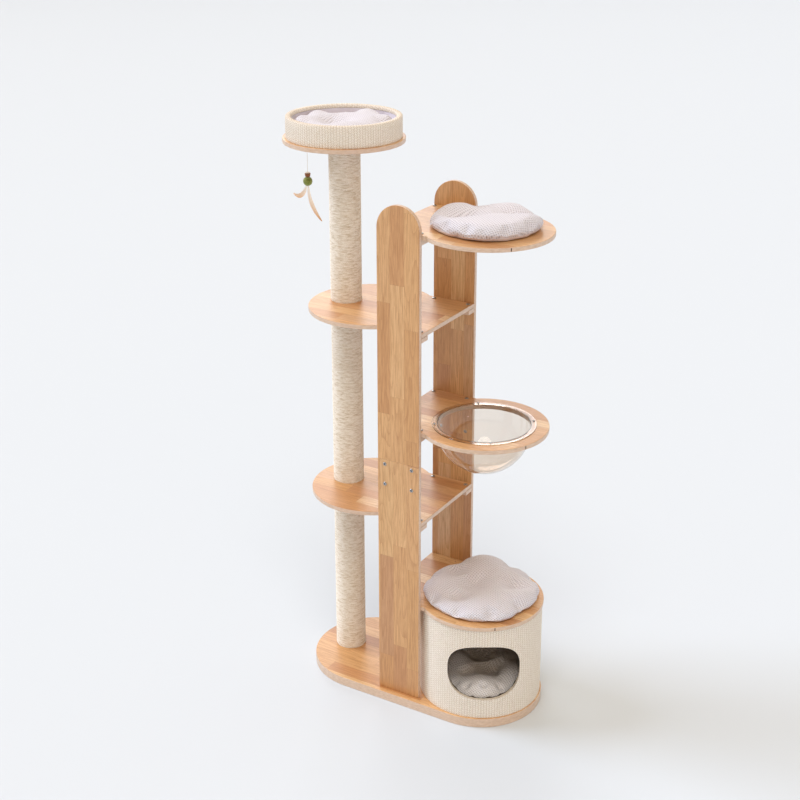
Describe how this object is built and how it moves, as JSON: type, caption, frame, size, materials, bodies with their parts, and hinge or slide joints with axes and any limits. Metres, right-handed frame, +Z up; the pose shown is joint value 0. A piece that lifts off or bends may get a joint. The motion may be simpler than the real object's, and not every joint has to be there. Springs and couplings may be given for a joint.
{
  "type": "cat tree",
  "caption": "Tall wooden cat tree with rounded shelves between two uprights, sisal scratching posts, a high bed, a clear bowl, a covered den and a hanging toy.",
  "frame": {"origin": "on the floor, in the middle of the round-ended base", "axes": "+Z up, +X along the base from the scratching posts to the covered den, -Y towards the side that the den's doorway faces"},
  "size_m": [0.827, 0.374, 1.721],
  "materials": {
    "rubberwood": "clear satin lacquer over finger-jointed light brown staves with paler pinkish edges",
    "post_sisal": "pale cream sisal, fine rope wound round and round",
    "wall_sisal": "pale cream woven sisal matting with upright ribs",
    "card": "plain cream pressed card, under the sisal but for its cut edge round the doorway",
    "lining_cloth": "smooth matt pale lilac cloth",
    "waffle_cloth": "soft off-white waffle weave with a faint pink tint",
    "clear_acrylic": "clear polished acrylic sheet",
    "zinc_steel": "bright zinc plate",
    "string": "thin off-white elastic cord",
    "brown_leather": "smooth dark brown leather",
    "green_felt": "fuzzy olive green felt",
    "feather": "soft feather, pale cream at the root and orange brown at the tip"
  },
  "bodies": {
    "tree": {"base_plate": "rubberwood", "front_upright_lower": "rubberwood", "front_upright_upper": "rubberwood", "rear_upright_lower": "rubberwood", "rear_upright_upper": "rubberwood", "condo_roof": "rubberwood", "lower_left_shelf": "rubberwood", "bowl_shelf": "rubberwood", "middle_left_shelf": "rubberwood", "top_right_shelf": "rubberwood", "condo_roof_front_batten": "rubberwood", "condo_roof_rear_batten": "rubberwood", "lower_left_shelf_front_batten": "rubberwood", "lower_left_shelf_rear_batten": "rubberwood", "bowl_shelf_front_batten": "rubberwood", "bowl_shelf_rear_batten": "rubberwood", "middle_left_shelf_front_batten": "rubberwood", "middle_left_shelf_rear_batten": "rubberwood", "top_right_shelf_front_batten": "rubberwood", "top_right_shelf_rear_batten": "rubberwood", "lower_post_bottom_plug": "rubberwood", "lower_post_top_plug": "rubberwood", "middle_post_bottom_plug": "rubberwood", "middle_post_top_plug": "rubberwood", "upper_post_bottom_plug": "rubberwood", "upper_post_top_plug": "rubberwood", "bed_plate": "rubberwood", "lower_post_sisal": "post_sisal", "lower_post_tube": "card", "middle_post_sisal": "post_sisal", "middle_post_tube": "card", "upper_post_sisal": "post_sisal", "upper_post_tube": "card", "bed_ring": "card", "condo_wall": "card", "bed_ring_sisal": "wall_sisal", "condo_sisal": "wall_sisal", "bed_lining": "lining_cloth", "condo_lining": "waffle_cloth", "den_cushion": "waffle_cloth", "bowl": "clear_acrylic", "base_post_bolt": "zinc_steel", "lower_shelf_stud": "zinc_steel", "middle_shelf_stud": "zinc_steel", "bed_plate_bolt": "zinc_steel", "toy_eyelet": "zinc_steel", "bowl_screw_1": "zinc_steel", "bowl_screw_2": "zinc_steel", "bowl_screw_3": "zinc_steel", "bowl_screw_4": "zinc_steel"},
    "shelf_cushion": {"shelf_cushion": "waffle_cloth"},
    "roof_cushion": {"roof_cushion": "waffle_cloth"},
    "bed_cushion": {"bed_cushion": "waffle_cloth"},
    "toy_swivel": {"toy_loop": "string"},
    "toy": {"toy_string": "string", "toy_cap": "brown_leather", "toy_ball": "green_felt", "toy_long_feather": "feather", "toy_short_feather": "feather"}
  },
  "joints": [
    {"name": "shelf_cushion_lift", "type": "slide", "parent": "tree", "child": "shelf_cushion", "axis": [0, 0, 1], "range_m": [0, 0.15]},
    {"name": "roof_cushion_lift", "type": "slide", "parent": "tree", "child": "roof_cushion", "axis": [0, 0, 1], "range_m": [0, 0.15]},
    {"name": "bed_cushion_lift", "type": "slide", "parent": "tree", "child": "bed_cushion", "axis": [0, 0, 1], "range_m": [0, 0.15]},
    {"name": "toy_swing_sideways", "type": "hinge", "parent": "tree", "child": "toy_swivel", "pos_m": [-0.403, 0, 1.6355], "axis": [1, 0, 0], "range_deg": [-50, 50]},
    {"name": "toy_swing_outwards", "type": "hinge", "parent": "toy_swivel", "child": "toy", "pos_m": [-0.403, 0, 1.6301], "axis": [0, 1, 0], "range_deg": [-8, 50]}
  ]
}
